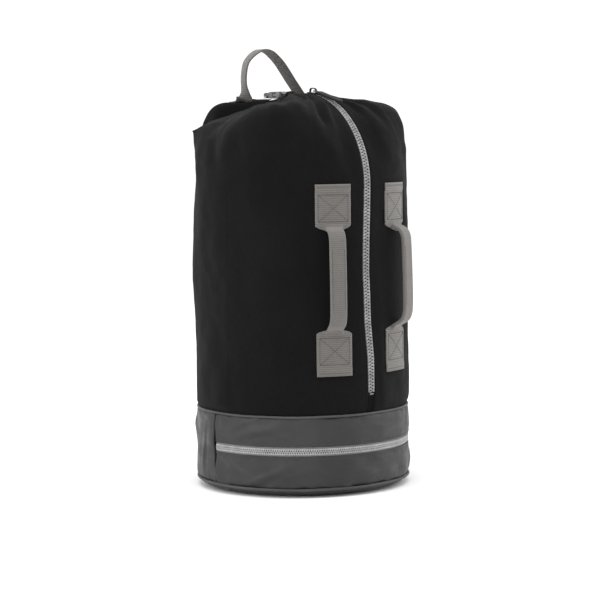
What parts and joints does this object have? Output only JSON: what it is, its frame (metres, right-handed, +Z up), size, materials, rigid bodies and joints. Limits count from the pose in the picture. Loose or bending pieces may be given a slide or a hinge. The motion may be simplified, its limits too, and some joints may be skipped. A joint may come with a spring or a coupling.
{
  "type": "rope storage bag",
  "caption": "Upright cylindrical fabric bag with a front zip over the shoulder, a zipped base compartment, webbing side handles and a haul loop.",
  "frame": {"origin": "centre of the bottom panel's underside, where the bag stands", "axes": "+Z up along the bag; -Y is the front, with the main zip; +X is the bag's left as it faces forwards"},
  "size_m": [0.3087, 0.3236, 0.6136],
  "materials": {
    "black_canvas": "heavy woven canvas, matte",
    "grey_fabric": "coated woven fabric, soft sheen",
    "piping_fabric": "cord covered in plain fabric",
    "lining_tape": "plain seam binding",
    "webbing": "ribbed nylon webbing",
    "zip_tape": "twill zip tape",
    "zip_teeth": "moulded teeth, satin",
    "zip_metal": "dark enamelled die-cast",
    "puller_rubber": "moulded, matte",
    "buckle_plastic": "moulded, fine matt grain",
    "board_plastic": "plain sheet"
  },
  "bodies": {
    "bag": {"base_back_wall": "grey_fabric", "base_board": "board_plastic", "base_front_lower_wall": "grey_fabric", "base_front_upper_wall": "grey_fabric", "base_zip_stops": "zip_teeth", "base_zip_tape_lower": "zip_tape", "base_zip_tape_upper": "zip_tape", "base_zip_teeth_lower": "zip_teeth", "base_zip_teeth_upper": "zip_teeth", "body_back_panel": "black_canvas", "body_left_panel": "black_canvas", "body_right_panel": "black_canvas", "bottom_panel": "grey_fabric", "bottom_piping": "piping_fabric", "bottom_seam_binding": "lining_tape", "buckle_female": "buckle_plastic", "closure_strap_anchor": "webbing", "closure_strap_front": "webbing", "crown_gather": "black_canvas", "divider_panel": "black_canvas", "haul_loop_foot_left": "webbing", "haul_loop_foot_right": "webbing", "left_handle_lower_tab": "webbing", "left_handle_upper_tab": "webbing", "main_zip_bottom_stop": "zip_teeth", "main_zip_end_tab": "black_canvas", "main_zip_tape_left": "zip_tape", "main_zip_tape_right": "zip_tape", "main_zip_teeth_left": "zip_teeth", "main_zip_teeth_right": "zip_teeth", "main_zip_top_stops": "zip_teeth", "right_handle_lower_tab": "webbing", "right_handle_upper_tab": "webbing", "waist_piping": "piping_fabric", "waist_seam_binding": "lining_tape"},
    "main_slider": {"main_zip_slider": "zip_metal"},
    "main_puller": {"main_puller_ring": "zip_metal", "main_puller_grip": "puller_rubber"},
    "base_slider": {"base_zip_slider": "zip_metal"},
    "base_puller": {"base_puller_ring": "zip_metal", "base_puller_grip": "puller_rubber"},
    "left_grip": {"left_handle_grip": "webbing"},
    "right_grip": {"right_handle_grip": "webbing"},
    "haul_loop": {"haul_loop_webbing": "webbing"},
    "buckle_tongue": {"buckle_male": "buckle_plastic", "closure_strap_loop": "webbing"}
  },
  "joints": [
    {"name": "main_zip_slide", "type": "hinge", "parent": "bag", "child": "main_slider", "pos_m": [0, -0.02, 0.418], "axis": [1, 0, 0], "range_deg": [0, 60]},
    {"name": "main_puller_swing", "type": "hinge", "parent": "main_slider", "child": "main_puller", "pos_m": [0, -0.03571, 0.55128], "axis": [1, 0, 0], "range_deg": [-135, 0]},
    {"name": "base_zip_slide", "type": "hinge", "parent": "bag", "child": "base_slider", "pos_m": [0, 0, 0.063], "axis": [0, 0, 1], "range_deg": [-172, 0]},
    {"name": "base_puller_swing", "type": "hinge", "parent": "base_slider", "child": "base_puller", "pos_m": [0.15387, -0.00641, 0.063], "axis": [0, 0, 1], "range_deg": [-135, 0]},
    {"name": "left_grip_swing", "type": "hinge", "parent": "bag", "child": "left_grip", "pos_m": [-0.05752, -0.14984, 0.294], "axis": [0, 0, 1], "range_deg": [-25, 25]},
    {"name": "right_grip_swing", "type": "hinge", "parent": "bag", "child": "right_grip", "pos_m": [0.05752, -0.14984, 0.294], "axis": [0, 0, 1], "range_deg": [-25, 25]},
    {"name": "haul_loop_fold", "type": "hinge", "parent": "bag", "child": "haul_loop", "pos_m": [0, 0.072, 0.5424], "axis": [1, 0, 0], "range_deg": [-35, 35]},
    {"name": "buckle_release", "type": "slide", "parent": "bag", "child": "buckle_tongue", "axis": [0, 1, 0], "range_m": [0, 0.018]}
  ]
}
